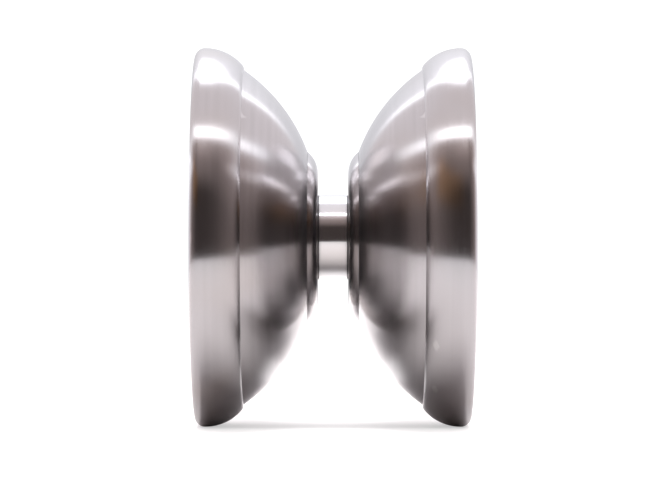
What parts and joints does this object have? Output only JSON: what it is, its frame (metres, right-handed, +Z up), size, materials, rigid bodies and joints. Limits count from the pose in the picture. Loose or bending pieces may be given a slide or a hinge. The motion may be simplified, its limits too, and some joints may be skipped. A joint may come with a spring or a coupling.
{
  "type": "yo-yo",
  "caption": "Wide flared metal yo-yo: two turned cup-shaped halves joined by an axle screw, with a shielded ball bearing as the string's seat.",
  "frame": {"origin": "centre of the bearing, on the spin axis, midway between the halves", "axes": "+X along the spin axis towards the right half, +Z up, +Y away from the viewer"},
  "size_m": [0.0414, 0.057, 0.057],
  "materials": {
    "turned_titanium": "satin, with fine concentric turning marks",
    "race_steel": "ground and polished",
    "ball_steel": "mirror polished",
    "cage_steel": "pressed sheet",
    "shield_steel": "pressed sheet",
    "spring_wire": "drawn wire",
    "screw_steel": "dark stainless",
    "silicone": "cast silicone, dark grey"
  },
  "bodies": {
    "left_side": {"left_half": "turned_titanium", "axle_screw": "screw_steel", "bearing_inner_race": "race_steel", "response_pad_left": "silicone"},
    "right_side": {"right_half": "turned_titanium", "response_pad_right": "silicone"},
    "outer_ring": {"bearing_outer_race": "race_steel", "shield_left": "shield_steel", "shield_right": "shield_steel", "snap_ring_left": "spring_wire", "snap_ring_right": "spring_wire"},
    "cage": {"bearing_cage": "cage_steel"},
    "ball_body_1": {"ball_1": "ball_steel"},
    "ball_body_2": {"ball_2": "ball_steel"},
    "ball_body_3": {"ball_3": "ball_steel"},
    "ball_body_4": {"ball_4": "ball_steel"},
    "ball_body_5": {"ball_5": "ball_steel"},
    "ball_body_6": {"ball_6": "ball_steel"},
    "ball_body_7": {"ball_7": "ball_steel"},
    "ball_body_8": {"ball_8": "ball_steel"}
  },
  "joints": [
    {"name": "half_unscrew", "type": "slide", "parent": "left_side", "child": "right_side", "axis": [1, 0, 0], "range_m": [0, 0.0075]},
    {"name": "bearing_spin", "type": "hinge", "parent": "left_side", "child": "outer_ring", "pos_m": [0, 0, 0], "axis": [1, 0, 0], "continuous": true},
    {"name": "cage_spin", "type": "hinge", "parent": "left_side", "child": "cage", "pos_m": [0, 0, 0], "axis": [1, 0, 0], "continuous": true},
    {"name": "ball_1_spin", "type": "hinge", "parent": "cage", "child": "ball_body_1", "pos_m": [0, 0, 0.00476], "axis": [1, 0, 0], "continuous": true},
    {"name": "ball_2_spin", "type": "hinge", "parent": "cage", "child": "ball_body_2", "pos_m": [0, -0.00337, 0.00337], "axis": [1, 0, 0], "continuous": true},
    {"name": "ball_3_spin", "type": "hinge", "parent": "cage", "child": "ball_body_3", "pos_m": [0, -0.00476, 0], "axis": [1, 0, 0], "continuous": true},
    {"name": "ball_4_spin", "type": "hinge", "parent": "cage", "child": "ball_body_4", "pos_m": [0, -0.00337, -0.00337], "axis": [1, 0, 0], "continuous": true},
    {"name": "ball_5_spin", "type": "hinge", "parent": "cage", "child": "ball_body_5", "pos_m": [0, 0, -0.00476], "axis": [1, 0, 0], "continuous": true},
    {"name": "ball_6_spin", "type": "hinge", "parent": "cage", "child": "ball_body_6", "pos_m": [0, 0.00337, -0.00337], "axis": [1, 0, 0], "continuous": true},
    {"name": "ball_7_spin", "type": "hinge", "parent": "cage", "child": "ball_body_7", "pos_m": [0, 0.00476, 0], "axis": [1, 0, 0], "continuous": true},
    {"name": "ball_8_spin", "type": "hinge", "parent": "cage", "child": "ball_body_8", "pos_m": [0, 0.00337, 0.00337], "axis": [1, 0, 0], "continuous": true}
  ],
  "couplings": [
    {"joint": "cage_spin", "follows": "bearing_spin", "ratio": 0.58336},
    {"joint": "ball_1_spin", "follows": "bearing_spin", "ratio": 2.9157},
    {"joint": "ball_2_spin", "follows": "bearing_spin", "ratio": 2.9157},
    {"joint": "ball_3_spin", "follows": "bearing_spin", "ratio": 2.9157},
    {"joint": "ball_4_spin", "follows": "bearing_spin", "ratio": 2.9157},
    {"joint": "ball_5_spin", "follows": "bearing_spin", "ratio": 2.9157},
    {"joint": "ball_6_spin", "follows": "bearing_spin", "ratio": 2.9157},
    {"joint": "ball_7_spin", "follows": "bearing_spin", "ratio": 2.9157},
    {"joint": "ball_8_spin", "follows": "bearing_spin", "ratio": 2.9157}
  ]
}
